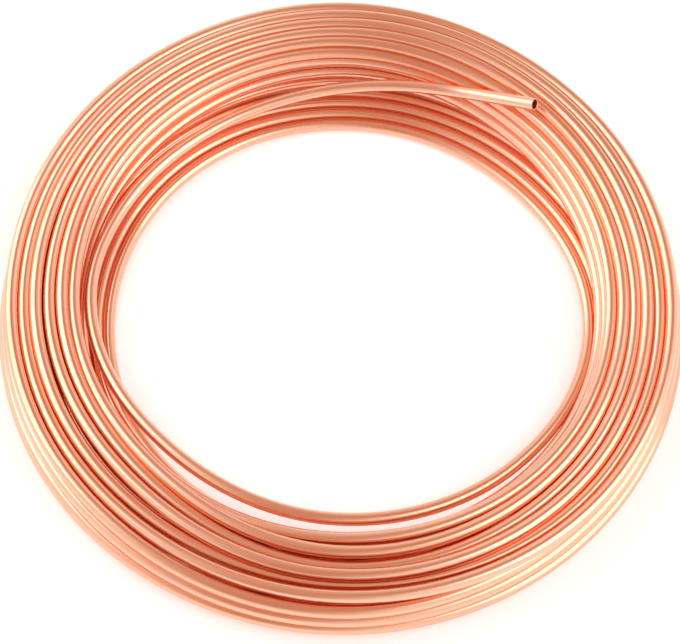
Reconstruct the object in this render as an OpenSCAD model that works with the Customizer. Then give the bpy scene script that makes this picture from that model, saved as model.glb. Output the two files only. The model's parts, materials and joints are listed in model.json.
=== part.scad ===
// A hand coil of soft copper tube: one length of tube, wound in close layers
// round an open eye, with one cut end lifted clear of the turns.
// Units are millimetres. +Z is up, and the coil lies flat with its axis on Z.
// Looked at from above, the tube runs clockwise towards its lifted end.

/* [Tube] */
// Outside diameter of the tube
tube_od = 6.35; // [5:0.05:8]
// Thickness of the tube's wall
tube_wall = 0.76; // [0.5:0.02:1.2]

/* [Coil] */
// Outside diameter of the coil, at its lowest turn
coil_od = 340; // [300:1:420]
// Diameter of the open eye, inside the lowest turn
coil_eye = 228; // [190:1:250]
// Layers of turns, one on top of another, at the outside
layers = 5; // [4:1:6]
// Rise from one layer to the next, less than a diameter where turns nest
layer_rise = 6.1; // [5:0.1:6.3]
// How far the top outside turn is set in from the lowest one
outer_batter = 6; // [0:0.5:8]
// How far the top inside turn is set back from the lowest one
inner_batter = 2.8; // [0:0.2:6]
// How much lower the top layer lies at the eye than at the outside
top_dish = 8; // [0:0.5:10]

/* [Free end] */
// Where the free end leaves the top inside turn, in degrees round from +X
end_from = 109.5; // [90:0.5:150]
// Slope at which it climbs over the top layer, in degrees
end_climb = 5; // [4:0.5:8]
// Bend radius of its crossing run, gentler than the coil's own
end_bend = 165; // [140:1:300]
// Sweep of its crossing run, in degrees
end_sweep = 32; // [24:1:40]
// Bend radius of the hook that lifts the mouth
hook_bend = 80; // [60:1:120]
// Sweep of the hook, in degrees
hook_sweep = 25; // [15:1:35]
// Lean of the hook, from flat inwards at 0 to straight up at 90
hook_lean = 55; // [40:1:90]
// Straight length behind the cut mouth
end_straight = 20; // [15:1:40]

/* [Hidden] */
tube_r = tube_od / 2;
bore_r = tube_r - tube_wall;
// Centre lines of the four corner turns of the coil's section: [radius, height]
low_out = [coil_od / 2 - tube_r, tube_r];
low_in = [coil_eye / 2 + tube_r, tube_r];
top_out = low_out + [-outer_batter, (layers - 1) * layer_rise];
top_in = low_in + [inner_batter, (layers - 1) * layer_rise - top_dish];
// Neighbouring turns bed into each other by at least this much
bedding = 0.1;
// The free end starts this far below the centre of the top inside turn
end_sink = 1.8;
// How far the bore's cut runs out past the mouth
cut_over = 1;
copper = "#D98A5B";
$fn = 64;

// Turns in a row along one side of the section, from corner to corner
module row_of_turns(from, to) {
    gaps = ceil(norm(to - from) / (tube_od - bedding));
    for (i = [0 : gaps])
        translate(from + (to - from) * i / gaps)
            circle(r = tube_r);
}

// The wound turns in section. The four outer rows show, and the middle is full.
module coil_section() {
    row_of_turns(low_in, low_out);
    row_of_turns(low_out, top_out);
    row_of_turns(top_out, top_in);
    row_of_turns(top_in, low_in);
    polygon([low_in, low_out, top_out, top_in]);
}

module wound_turns() {
    rotate_extrude($fn = 180)
        coil_section();
}

// Puts its children where the free end leaves the coil, with -Y along the tube
// and +X away from the eye
module at_free_end() {
    rotate([0, 0, end_from])
        translate([top_in[0], 0, top_in[1] - end_sink])
            rotate([-end_climb, 0, 0])
                children();
}

// Carries its children round a bend towards -X, to its far end
module past_bend(radius, sweep) {
    translate([-radius, 0, 0])
        rotate([0, 0, -sweep])
            translate([radius, 0, 0])
                children();
}

// A length of tube round the same bend
module bend(radius, sweep) {
    translate([-radius, 0, 0])
        rotate([0, 0, -sweep])
            rotate_extrude(angle = sweep, $fn = 180)
                translate([radius, 0])
                    circle(r = tube_r);
}

// Puts its children at the start of the hook, turned so that it lifts
module at_hook() {
    at_free_end()
        past_bend(end_bend, end_sweep)
            rotate([0, hook_lean, 0])
                children();
}

// A round bar or cut along the straight run, from the hook out past the mouth
module along_mouth(radius, length) {
    at_hook()
        past_bend(hook_bend, hook_sweep)
            rotate([90, 0, 0])
                cylinder(r = radius, h = length);
}

// The lifted end: a crossing run, a hook and a straight run to the cut mouth
module free_end() {
    at_free_end()
        bend(end_bend, end_sweep);
    at_hook()
        bend(hook_bend, hook_sweep);
    along_mouth(tube_r, end_straight);
}

module tube_coil() {
    color(copper)
        difference() {
            union() {
                wound_turns();
                free_end();
            }
            along_mouth(bore_r, end_straight + cut_over);
        }
}

tube_coil();
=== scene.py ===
# A hand coil of soft copper tube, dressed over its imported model: one tube, wound in
# layers from its hidden end at the foot to its lifted mouth.
import json
import math

import bpy
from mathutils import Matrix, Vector


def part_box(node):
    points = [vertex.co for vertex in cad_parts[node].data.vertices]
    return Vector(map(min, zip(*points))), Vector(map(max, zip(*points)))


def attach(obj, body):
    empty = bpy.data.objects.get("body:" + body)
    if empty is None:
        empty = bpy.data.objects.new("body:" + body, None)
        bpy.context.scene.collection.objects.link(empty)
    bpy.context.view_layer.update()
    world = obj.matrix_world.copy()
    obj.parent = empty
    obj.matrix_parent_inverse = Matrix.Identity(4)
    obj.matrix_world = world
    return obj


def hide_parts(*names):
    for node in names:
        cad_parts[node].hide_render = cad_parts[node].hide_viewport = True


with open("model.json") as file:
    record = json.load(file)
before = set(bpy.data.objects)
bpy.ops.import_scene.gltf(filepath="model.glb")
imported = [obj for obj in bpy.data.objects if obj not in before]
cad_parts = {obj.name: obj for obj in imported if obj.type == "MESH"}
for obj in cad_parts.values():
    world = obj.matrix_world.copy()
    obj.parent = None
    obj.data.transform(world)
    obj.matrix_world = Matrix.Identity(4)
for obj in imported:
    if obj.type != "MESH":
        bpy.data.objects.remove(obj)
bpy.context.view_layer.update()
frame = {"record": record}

# The winding is worked out in millimetres, and Blender is given metres.
MM = 0.001
mounts = {m["name"]: m for m in frame["record"]["mounts"]}
packed_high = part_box("tube_coil")[1]

# ---------------------------------------------------------------- tube
TUBE_RADIUS = mounts["end_outside"]["dims"]["r_mm"]
BORE_RADIUS = mounts["end_bore"]["dims"]["r_mm"]
# The bore is open this deep at both ends, and the rims of the cuts are broken by DEBURR.
BORE_DEPTH = 60.0
DEBURR = 0.12
# Edges that turn by more than this many degrees stay sharp, as the rims do.
SHARP_TURN = 40
TUBE_SIDES = 20
# Degrees of the winding from one ring of the tube to the next.
RING_STEP = 3.0

# ---------------------------------------------------------------- winding
# Angles run clockwise seen from above, the way the tube is wound: 0 is the right,
# 90 the front, 180 the left and 270 the back. A turn runs from left to left.
TURN = 360
TURN_STEP = 45
TURN_ANGLES = [180 + TURN_STEP * i for i in range(8)]
START_ANGLE = 105

# Each layer stands this much higher than the last, and its outside turn further in.
LAYER_RISE = 6.1
OUTER_BATTER = 1.5
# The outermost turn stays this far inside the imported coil's outside.
INSIDE_BOX = 0.05
FOOT_RADIUS = packed_high.x / MM - TUBE_RADIUS - INSIDE_BOX


def layer(level, turns, pitch):
    """Slots of one layer, from its outside turn inwards: (radius, height)."""
    outside = FOOT_RADIUS - OUTER_BATTER * level
    height = TUBE_RADIUS + LAYER_RISE * level
    return [(outside - pitch * i, height) for i in range(turns)]


FOOT = layer(0, 4, 6.2)
SECOND = layer(1, 7, 6.1)
THIRD = layer(2, 6, 6.6)
FOURTH = layer(3, 1, 0)[0]

# Where the turn that climbs from one layer to the next passes the front.
FOOT_RISER = (166.7, 6.4)
SECOND_RISER = (127.8, 14.3)
THIRD_RISER = (166.7, 17.0)

# At the back the coil is slack. Above the foot its inner turns lie further out there, by
# up to SLACK_SPREAD, and each layer rises a little more than the one below it.
SLACK_SPREAD = 2.5
SLACK_RISE = 0.8
# These turns stand higher still at the back, and show up the inside of the coil.
INSIDE_BACK = {
    THIRD[5]: (136.6, 24.8),
    THIRD[4]: (141.0, 20.5),
    SECOND[6]: (134.4, 18.4),
    SECOND[5]: (134.4, 10.4),
}
# How much of the way to its place at the back a turn has gone when halfway round to it,
# coming from the left, and how much is left halfway on to the right.
GONE_BACK = 0.65
STILL_BACK = 0.45
# The same for the move to the next slot across the front: how far towards the middle of
# the move a turn is at the near right, and how far on from there at the near left.
LEAVING = 0.45
ARRIVING = 0.6

# The first two turns lie on the floor inside the foot, side by side at the back. These
# are their radii at TURN_ANGLES. The tube starts at the front, below the turns on top,
# and START has its radii at the front and the near left, before the first whole turn.
START = (130.0, 127.0)
FIRST = (127.4, 126.7, 124.8, 127.6, 135.4, 136.0, 136.0, 134.6)
NEXT = (133.8, 133.1, 131.3, 134.1, 141.8, 143.0, 145.2, 147.2)

# The turn that climbs on top, where it leaves its slot.
FOURTH_BACK = (163.6, 23.2)
CLIMB_FRONT = (164.8, 23.0)
CLIMB_NEAR_LEFT = (161.6, 27.5)
# The six turns on top, from the outside in, by radius and height where they pass each
# side of the coil. They lie loosely, high and low, and keep to no layer, so their places
# were chosen one by one.
TOP_LEFT = [(160.8, 27.6), (155.0, 25.4), (149.1, 26.8), (142.9, 24.4), (136.5, 24.8), (131.0, 22.4)]
TOP_BACK = [(166.7, 30.0), (160.9, 31.5), (154.8, 32.5), (149.0, 32.5), (143.2, 32.0), (137.8, 30.0)]
BACK_RIGHT = [(162.9, 28.4), (157.1, 29.8), (151.4, 31.2), (145.6, 30.6), (140.4, 28.0), (136.6, 23.2)]
TOP_RIGHT = [(161.1, 28.0), (155.4, 25.6), (149.4, 26.8), (143.9, 24.4), (138.0, 24.8), (132.3, 22.4)]
NEAR_RIGHT = [(163.3, 28.0), (157.4, 24.0), (151.6, 26.6), (145.3, 23.5), (138.9, 24.4), (132.9, 22.4)]
TOP_FRONT = [(159.3, 27.6), (151.0, 20.5), (148.4, 26.5), (142.2, 20.0), (136.3, 24.0), (128.8, 21.5)]
# By the near left each has moved in one place, and the innermost dives to the floor.
NEAR_LEFT = [(154.9, 26.8), (148.0, 25.0), (140.6, 26.0), (134.0, 23.0), (128.0, 23.5), (125.2, 15.5)]

# Two loose turns lie at the foot of the eye, and the second lifts at the front. Each
# has two rows: its left and back, then its right and front.
LOOSE = [
    [(121.0, 4.0), (120.2, 3.2), (118.2, 3.2), (120.6, 3.2)],
    [(129.0, 3.2), (126.0, 3.2), (122.8, 3.2), (120.0, 3.2)],
    [(115.2, 3.2), (113.2, 3.2), (111.7, 3.2), (114.2, 3.2)],
    [(123.2, 4.0), (120.6, 12.0), (117.2, 17.0), (115.2, 19.0)],
]
# Where the last turn leads into the free end, by angle, radius and height.
LAST = [(180, 123.4, 17.0), (205, 122.2, 15.6), (230, 120.6, 15.2)]

# ---------------------------------------------------------------- free end
# The free end leaves the winding at this place, climbing at this many degrees.
END_ANGLE = 250.5
END_RADIUS, END_HEIGHT = 119.975, 17.775
END_CLIMB = 5.0
# It crosses the turns in a wide bend, hooks upwards in a tighter one and ends straight.
# A bend has a radius, and a sweep and a step in degrees.
CROSSING_BEND, CROSSING_SWEEP, CROSSING_STEP = 165.0, 32.0, 2.2
HOOK_LEAN, HOOK_BEND, HOOK_SWEEP, HOOK_STEP = 55.0, 80.0, 25.0, 2.5
STRAIGHT, STRAIGHT_STEPS = 20.0, 4


def mix(a, b, share):
    """The place a share of the way from a to b."""
    return tuple(p + (q - p) * share for p, q in zip(a, b))


def slack(slot):
    """Where a turn of the lower layers lies at the back."""
    if slot in INSIDE_BACK:
        return INSIDE_BACK[slot]
    radius, height = slot
    level = (height - TUBE_RADIUS) / LAYER_RISE
    inward = (FOOT_RADIUS - radius) / (FOOT_RADIUS - SECOND[-1][0])
    return radius + SLACK_SPREAD * inward * min(level, 1.0), height + SLACK_RISE * level


def go_round(left, back, right, front_half):
    """The eight places of one turn, from its places at the sides and its front half."""
    before_back = mix(left, back, GONE_BACK)
    after_back = mix(right, back, STILL_BACK)
    return [left, before_back, back, after_back, right] + front_half


def slot_turn(slot, after, seat=None):
    """A turn that keeps to its slot, then moves to the next one across the front."""
    seat = seat or mix(slot, after, 0.5)
    front_half = [mix(slot, seat, LEAVING), seat, mix(seat, after, ARRIVING)]
    return go_round(slot, slack(slot), slot, front_half)


def layer_turns(slots, beyond, riser):
    """The turns of one layer in the order of its slots, the last of them climbing."""
    turns = [slot_turn(slot, after) for slot, after in zip(slots, slots[1:])]
    return turns + [slot_turn(slots[-1], beyond, riser)]


def wound_turns():
    """The places of every turn at TURN_ANGLES, from the foot to the lifted turn."""
    turns = [[(radius, TUBE_RADIUS) for radius in radii] for radii in (FIRST, NEXT)]
    turns += layer_turns(FOOT[::-1], SECOND[0], FOOT_RISER)
    turns += layer_turns(SECOND, THIRD[-1], SECOND_RISER)
    turns += layer_turns(THIRD[::-1], FOURTH, THIRD_RISER)
    turns.append(go_round(FOURTH, FOURTH_BACK, FOURTH, [FOURTH, CLIMB_FRONT, CLIMB_NEAR_LEFT]))
    sides = zip(TOP_LEFT, TOP_BACK, BACK_RIGHT, TOP_RIGHT, NEAR_RIGHT, TOP_FRONT, NEAR_LEFT)
    for left, back, *others in sides:
        turns.append([left, mix(left, back, GONE_BACK), back, *others])
    return turns + [LOOSE[0] + LOOSE[1], LOOSE[2] + LOOSE[3]]


def winding_stations():
    """Stations of the winding, as (angle, radius, height). The angle goes on counting
    from turn to turn, and the first turn begins at the left, at 180."""
    before = zip(TURN_ANGLES[-len(START):], START)
    stations = [(a - TURN, radius, TUBE_RADIUS) for a, radius in before]
    turns = wound_turns()
    for i, places in enumerate(turns):
        stations += [(TURN * i + a, *place) for a, place in zip(TURN_ANGLES, places)]
    start = TURN * len(turns)
    stations += [(start + a, r, h) for a, r, h in LAST]
    stations.append((start + END_ANGLE, END_RADIUS, END_HEIGHT))
    return stations


def run_through(stations, first, last):
    """A smooth run through the stations, at about every RING_STEP between two angles. It
    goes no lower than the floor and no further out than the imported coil."""
    rise = math.tan(math.radians(END_CLIMB)) * math.radians(1) * END_RADIUS
    before_end, end = stations[-2], stations[-1]
    span = end[0] - before_end[0]
    beyond = (end[0] + span, before_end[1], before_end[2] + 2 * span * rise)
    posts = [(stations[0][0] - TURN_STEP, *stations[0][1:])] + stations + [beyond]
    count = round((last - first) / RING_STEP)
    places = []
    i = 1
    for step in range(count + 1):
        angle = first + (last - first) * step / count
        while i < len(posts) - 3 and posts[i + 1][0] < angle:
            i += 1
        a, b, c, d = posts[i - 1 : i + 3]
        t = (angle - b[0]) / (c[0] - b[0])
        place = []
        for k in (1, 2):
            leave = (c[k] - a[k]) / (c[0] - a[0]) * (c[0] - b[0])
            reach = (d[k] - b[k]) / (d[0] - b[0]) * (c[0] - b[0])
            place.append(
                (2 * t**3 - 3 * t**2 + 1) * b[k]
                + (t**3 - 2 * t**2 + t) * leave
                + (3 * t**2 - 2 * t**3) * c[k]
                + (t**3 - t**2) * reach
            )
        places.append((angle, min(place[0], FOOT_RADIUS), max(place[1], TUBE_RADIUS)))
    return places


def arc(point, heading, side, bend, sweep, step):
    """Points of a bend towards side, with the heading and side at its far end."""
    count = max(2, round(sweep / step))
    middle = point + side * bend
    points = []
    for i in range(1, count + 1):
        turned = math.radians(sweep * i / count)
        points.append(middle - side * bend * math.cos(turned) + heading * bend * math.sin(turned))
    turned = math.radians(sweep)
    onward = heading * math.cos(turned) + side * math.sin(turned)
    return points, onward, side * math.cos(turned) - heading * math.sin(turned)


def free_end():
    """The lifted end after its first point: a crossing run, a hook and a straight run."""
    around = math.radians(END_ANGLE)
    outward = Vector((math.cos(around), -math.sin(around), 0))
    start = outward * END_RADIUS + Vector((0, 0, END_HEIGHT))
    climb = math.radians(END_CLIMB)
    level_heading = Vector((-math.sin(around), -math.cos(around), 0))
    heading = level_heading * math.cos(climb) + Vector((0, 0, math.sin(climb)))
    crossing, heading, side = arc(
        start, heading, -outward, CROSSING_BEND, CROSSING_SWEEP, CROSSING_STEP
    )
    lean = math.radians(HOOK_LEAN)
    side = side * math.cos(lean) + side.cross(heading) * math.sin(lean)
    hook, heading, side = arc(crossing[-1], heading, side, HOOK_BEND, HOOK_SWEEP, HOOK_STEP)
    ahead = heading * STRAIGHT
    mouth = [hook[-1] + ahead * i / STRAIGHT_STEPS for i in range(1, STRAIGHT_STEPS + 1)]
    return crossing + hook + mouth


def tube_route():
    """Every point of the tube's centre line, from its hidden end to its mouth."""
    stations = winding_stations()
    places = run_through(stations, START_ANGLE, stations[-1][0])
    route = []
    for angle, radius, height in places:
        around = math.radians(angle)
        route.append(Vector((radius * math.cos(around), -radius * math.sin(around), height)))
    return route + free_end()


# ---------------------------------------------------------------- mesh
def bore_reach(route):
    """How many points of the route lie within the bore's depth of its first point."""
    gone = 0.0
    for i in range(1, len(route)):
        gone += (route[i] - route[i - 1]).length
        if gone > BORE_DEPTH:
            return i
    return len(route) - 1


def cut_end(point, heading, inward):
    """Rings round a cut end, from the bore's lip to the tube's outside."""
    lip = point + inward * DEBURR
    return [
        (lip, heading, BORE_RADIUS),
        (point, heading, BORE_RADIUS + DEBURR),
        (point, heading, TUBE_RADIUS - DEBURR),
        (lip, heading, TUBE_RADIUS),
    ]


def tube_rings(route):
    """Rings (centre, heading, radius) from the floor of one bore, out of its cut end,
    along the outside and into the other bore."""
    headings = []
    for i in range(len(route)):
        ahead = route[min(i + 1, len(route) - 1)] - route[max(i - 1, 0)]
        headings.append(ahead.normalized())
    first, last = headings[0], headings[-1]
    foot_reach, mouth_reach = bore_reach(route), bore_reach(route[::-1])
    rings = [(route[i], headings[i], BORE_RADIUS) for i in range(foot_reach, 0, -1)]
    rings += cut_end(route[0], first, first)
    rings += [(p, h, TUBE_RADIUS) for p, h in zip(route[1:-1], headings[1:-1])]
    rings += cut_end(route[-1], last, -last)[::-1]
    deep = range(len(route) - 2, len(route) - 2 - mouth_reach, -1)
    rings += [(route[i], headings[i], BORE_RADIUS) for i in deep]
    return rings, range(foot_reach + 3, foot_reach + 3 + len(route))


def add_tube(name, route, finishes):
    """The whole tube as one closed mesh. Its map runs along it in metres and round it."""
    rings, outside = tube_rings(route)
    verts, runs = [], []
    run = 0.0
    for i, (centre, heading, radius) in enumerate(rings):
        side = heading.cross(Vector((0, 0, 1))).normalized()
        top = side.cross(heading)
        run += (centre - rings[i - 1][0]).length if i else 0.0
        runs.append(run * MM)
        for k in range(TUBE_SIDES):
            round_it = math.tau * k / TUBE_SIDES
            reach = top * -math.cos(round_it) + side * math.sin(round_it)
            verts.append((centre + reach * radius) * MM)
    faces, corners, inside = [], [], []
    for i in range(len(rings) - 1):
        for k in range(TUBE_SIDES):
            here, there = i * TUBE_SIDES, (i + 1) * TUBE_SIDES
            after = (k + 1) % TUBE_SIDES
            faces.append((here + k, there + k, there + after, here + after))
            low, high = k / TUBE_SIDES, (k + 1) / TUBE_SIDES
            corners += [(runs[i], low), (runs[i + 1], low), (runs[i + 1], high), (runs[i], high)]
            inside.append(i not in outside or i + 1 not in outside)
    floors = ([k for k in range(TUBE_SIDES)], [len(verts) - 1 - k for k in range(TUBE_SIDES)])
    for floor, place in zip(floors, (runs[0], runs[-1])):
        faces.append(tuple(floor))
        corners += [(place, k / TUBE_SIDES) for k in range(TUBE_SIDES)]
        inside.append(True)
    mesh = bpy.data.meshes.new(name)
    mesh.from_pydata(verts, [], faces)
    layer_map = mesh.uv_layers.new(name="along_tube")
    layer_map.data.foreach_set("uv", [value for corner in corners for value in corner])
    # Faces of the bores and the cut ends take the second finish, whose darker tones are painted shade.
    mesh.polygons.foreach_set("material_index", [int(bare) for bare in inside])
    mesh.polygons.foreach_set("use_smooth", [True] * len(faces))
    for finish in finishes:
        mesh.materials.append(finish)
    mesh.set_sharp_from_angle(angle=math.radians(SHARP_TURN))
    mesh.validate()
    piece = bpy.data.objects.new(name, mesh)
    bpy.context.scene.collection.objects.link(piece)
    return piece


# ---------------------------------------------------------------- finishes
# How often the drawn lines change in a metre of tube, and the tones once round it.
LINES_ALONG = 3.0
TONES_ROUND = 2.0
# How deep the drawn lines are, in metres.
LINE_DEPTH = 0.0001
# The clear film on bright copper, which makes its highlights paler.
FILM, FILM_ROUGHNESS = 0.35, 0.2
# The part of each mark's range that its tones and its roughness are spread over.
TONE_RANGE = (0.3, 0.7)
ROUGHNESS_RANGE = (0.25, 0.75)


def socket(group, name, kind, into, default=None):
    """One named input or output of a node group."""
    made = group.interface.new_socket(name, in_out="INPUT" if into else "OUTPUT", socket_type=kind)
    if default is not None:
        made.default_value = default
    return made


def drawn_marks():
    """Marks that drawing and winding leave on a tube: fine lines along it, and slow
    changes of tone from place to place."""
    group = bpy.data.node_groups.new("drawn_marks", "ShaderNodeTree")
    socket(group, "Lines Round", "NodeSocketFloat", True, 60.0)
    socket(group, "Tone Length", "NodeSocketFloat", True, 6.0)
    socket(group, "Lines", "NodeSocketFloat", False)
    socket(group, "Tone", "NodeSocketFloat", False)
    nodes, links = group.nodes, group.links
    values = nodes.new("NodeGroupInput")
    results = nodes.new("NodeGroupOutput")
    place = nodes.new("ShaderNodeUVMap")
    place.uv_map = "along_tube"
    parts = nodes.new("ShaderNodeSeparateXYZ")
    links.new(place.outputs["UV"], parts.inputs["Vector"])

    def times(output):
        node = nodes.new("ShaderNodeMath")
        node.operation = "MULTIPLY"
        links.new(output, node.inputs[0])
        return node

    def scaled(output, factor):
        node = times(output)
        node.inputs[1].default_value = factor
        return node.outputs[0]

    def repeated(output, count):
        node = times(output)
        links.new(values.outputs[count], node.inputs[1])
        return node.outputs[0]

    def noise(x, y, detail):
        spot = nodes.new("ShaderNodeCombineXYZ")
        links.new(x, spot.inputs["X"])
        links.new(y, spot.inputs["Y"])
        field = nodes.new("ShaderNodeTexNoise")
        field.inputs["Scale"].default_value = 1.0
        field.inputs["Detail"].default_value = detail
        links.new(spot.outputs[0], field.inputs["Vector"])
        return field.outputs["Fac"]

    along, around = parts.outputs["X"], parts.outputs["Y"]
    lines = noise(scaled(along, LINES_ALONG), repeated(around, "Lines Round"), detail=3.0)
    tone = noise(repeated(along, "Tone Length"), scaled(around, TONES_ROUND), detail=2.0)
    links.new(lines, results.inputs["Lines"])
    links.new(tone, results.inputs["Tone"])
    return group


def copper(name, marks, tones, roughness, lines_round, tone_length, relief):
    """Bare copper: two tones, a range of roughness, and the relief of its drawn lines."""
    finish = bpy.data.materials.new(name)
    finish.use_nodes = True
    nodes, links = finish.node_tree.nodes, finish.node_tree.links
    shader = nodes["Principled BSDF"]
    shader.inputs["Metallic"].default_value = 1.0
    shader.inputs["Coat Weight"].default_value = FILM
    shader.inputs["Coat Roughness"].default_value = FILM_ROUGHNESS
    worn = nodes.new("ShaderNodeGroup")
    worn.node_tree = marks
    worn.inputs["Lines Round"].default_value = lines_round
    worn.inputs["Tone Length"].default_value = tone_length
    colour = nodes.new("ShaderNodeValToRGB")
    for stop, place, tone in zip(colour.color_ramp.elements, TONE_RANGE, tones):
        stop.position = place
        stop.color = (*tone, 1)
    links.new(worn.outputs["Tone"], colour.inputs["Fac"])
    links.new(colour.outputs["Color"], shader.inputs["Base Color"])
    gloss = nodes.new("ShaderNodeMapRange")
    gloss.inputs["From Min"].default_value = ROUGHNESS_RANGE[0]
    gloss.inputs["From Max"].default_value = ROUGHNESS_RANGE[1]
    gloss.inputs["To Min"].default_value = roughness[0]
    gloss.inputs["To Max"].default_value = roughness[1]
    links.new(worn.outputs["Lines"], gloss.inputs["Value"])
    links.new(gloss.outputs["Result"], shader.inputs["Roughness"])
    bump = nodes.new("ShaderNodeBump")
    bump.inputs["Strength"].default_value = relief
    bump.inputs["Distance"].default_value = LINE_DEPTH
    links.new(worn.outputs["Lines"], bump.inputs["Height"])
    links.new(bump.outputs["Normal"], shader.inputs["Normal"])
    return finish


# ---------------------------------------------------------------- stage
# All of the stage is in metres.
FLOOR_REACH = 6.0
FLOOR_TONE = (0.95, 0.95, 0.95, 1)
FLOOR_GLOW = 0.2
CAMERA_ELEVATION = math.radians(62)
CAMERA_DISTANCE = 1.0
CAMERA_AIM = Vector((-0.0004, -0.0043, 0))
CAMERA_LENS, CAMERA_SENSOR = 106.04, 36

# The light panels stand along this direction, one on each side, and face the coil.
ACROSS = Vector((0.93, -0.37, 0))
PANEL_REACH = 1.1
PANEL_HEIGHT = 0.9
PANEL_SIZE = (1.2, 1.4)
RIGHT_GLOW, LEFT_GLOW = 1.25, 1.2
ROOM_TONE = (1.0, 1.0, 1.0, 1)
DIM_TONE = (0.62, 0.38, 0.27, 1)
# The dim tone is fullest midway between the panels and high up. It fades away over this
# range towards the panels, and over this range down towards the floor.
DIM_ASIDE = (0.05, 0.55)
DIM_HIGH = (0.15, 0.6)
# The grooves between the turns need many reflections before light gets out.
REFLECTIONS = 12


def add_floor():
    """A pale floor. A faint glow of its own keeps it as pale as the room."""
    mesh = bpy.data.meshes.new("floor")
    reach = FLOOR_REACH
    mesh.from_pydata(
        [(-reach, -reach, 0), (reach, -reach, 0), (reach, reach, 0), (-reach, reach, 0)],
        [],
        [(0, 1, 2, 3)],
    )
    pale = bpy.data.materials.new("pale_floor")
    pale.use_nodes = True
    shader = pale.node_tree.nodes["Principled BSDF"]
    shader.inputs["Base Color"].default_value = FLOOR_TONE
    shader.inputs["Emission Color"].default_value = (1, 1, 1, 1)
    shader.inputs["Emission Strength"].default_value = FLOOR_GLOW
    shader.inputs["Roughness"].default_value = 0.9
    mesh.materials.append(pale)
    floor = bpy.data.objects.new("floor", mesh)
    bpy.context.scene.collection.objects.link(floor)


def add_softbox(name, place, size, glow):
    """A soft light panel facing the coil. glow is how bright the panel looks."""
    light = bpy.data.lights.new(name, "AREA")
    light.shape = "RECTANGLE"
    light.size, light.size_y = size
    light.energy = glow * math.pi * size[0] * size[1]
    panel = bpy.data.objects.new(name, light)
    panel.location = place
    panel.rotation_euler = place.to_track_quat("Z", "Y").to_euler()
    bpy.context.scene.collection.objects.link(panel)


def add_camera():
    """Looks down at the coil from the front."""
    lens = bpy.data.cameras.new("camera")
    lens.sensor_width = CAMERA_SENSOR
    lens.lens = CAMERA_LENS
    camera = bpy.data.objects.new("camera", lens)
    away = Vector((0, -math.cos(CAMERA_ELEVATION), math.sin(CAMERA_ELEVATION)))
    camera.location = CAMERA_AIM + away * CAMERA_DISTANCE
    camera.rotation_euler = (math.pi / 2 - CAMERA_ELEVATION, 0, 0)
    bpy.context.scene.collection.objects.link(camera)
    bpy.context.scene.camera = camera


def room_light():
    """A pale room, dimmer and warmer high up between the two light panels."""
    world = bpy.data.worlds.new("room")
    world.use_nodes = True
    nodes, links = world.node_tree.nodes, world.node_tree.links
    direction = nodes.new("ShaderNodeTexCoord")
    parts = nodes.new("ShaderNodeSeparateXYZ")
    links.new(direction.outputs["Generated"], parts.inputs["Vector"])
    across = nodes.new("ShaderNodeVectorMath")
    across.operation = "DOT_PRODUCT"
    across.inputs[1].default_value = ACROSS
    links.new(direction.outputs["Generated"], across.inputs[0])
    aside = nodes.new("ShaderNodeMath")
    aside.operation = "ABSOLUTE"
    links.new(across.outputs["Value"], aside.inputs[0])

    def faded(output, reach, at_low, at_high):
        fade = nodes.new("ShaderNodeMapRange")
        fade.interpolation_type = "SMOOTHSTEP"
        links.new(output, fade.inputs["Value"])
        fade.inputs["From Min"].default_value = reach[0]
        fade.inputs["From Max"].default_value = reach[1]
        fade.inputs["To Min"].default_value = at_low
        fade.inputs["To Max"].default_value = at_high
        return fade.outputs["Result"]

    both = nodes.new("ShaderNodeMath")
    both.operation = "MULTIPLY"
    links.new(faded(aside.outputs[0], DIM_ASIDE, 1.0, 0.0), both.inputs[0])
    links.new(faded(parts.outputs["Z"], DIM_HIGH, 0.0, 1.0), both.inputs[1])
    tint = nodes.new("ShaderNodeValToRGB")
    tint.color_ramp.elements[0].color = ROOM_TONE
    tint.color_ramp.elements[1].color = DIM_TONE
    links.new(both.outputs[0], tint.inputs["Fac"])
    links.new(tint.outputs["Color"], nodes["Background"].inputs["Color"])
    bpy.context.scene.world = world


def light_stage():
    """The room and the two panels, shown in plain tones."""
    room_light()
    bpy.context.scene.view_settings.view_transform = "Standard"
    bpy.context.scene.cycles.glossy_bounces = REFLECTIONS
    right = ACROSS * PANEL_REACH
    up = Vector((0, 0, PANEL_HEIGHT))
    add_softbox("right_panel", up + right, PANEL_SIZE, RIGHT_GLOW)
    add_softbox("left_panel", up - right, PANEL_SIZE, LEFT_GLOW)


# ---------------------------------------------------------------- build
add_camera()
marks = drawn_marks()
polished = copper(
    "polished_copper",
    marks,
    tones=((0.93, 0.45, 0.29), (0.98, 0.57, 0.41)),
    roughness=(0.16, 0.26),
    lines_round=60.0,
    tone_length=6.0,
    relief=0.2,
)
# The copper of the cut ends and of the bores. Its rougher finish and deeper lines are real, and its
# darker tones are painted shade for the hollow of the bore, which also show on the cut rims.
cut = copper(
    "cut_copper",
    marks,
    tones=((0.70, 0.33, 0.20), (0.82, 0.42, 0.27)),
    roughness=(0.3, 0.45),
    lines_round=30.0,
    tone_length=40.0,
    relief=0.4,
)
tube = add_tube("copper_tube", tube_route(), [polished, cut])
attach(tube, "root")
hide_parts("tube_coil")
add_floor()
light_stage()
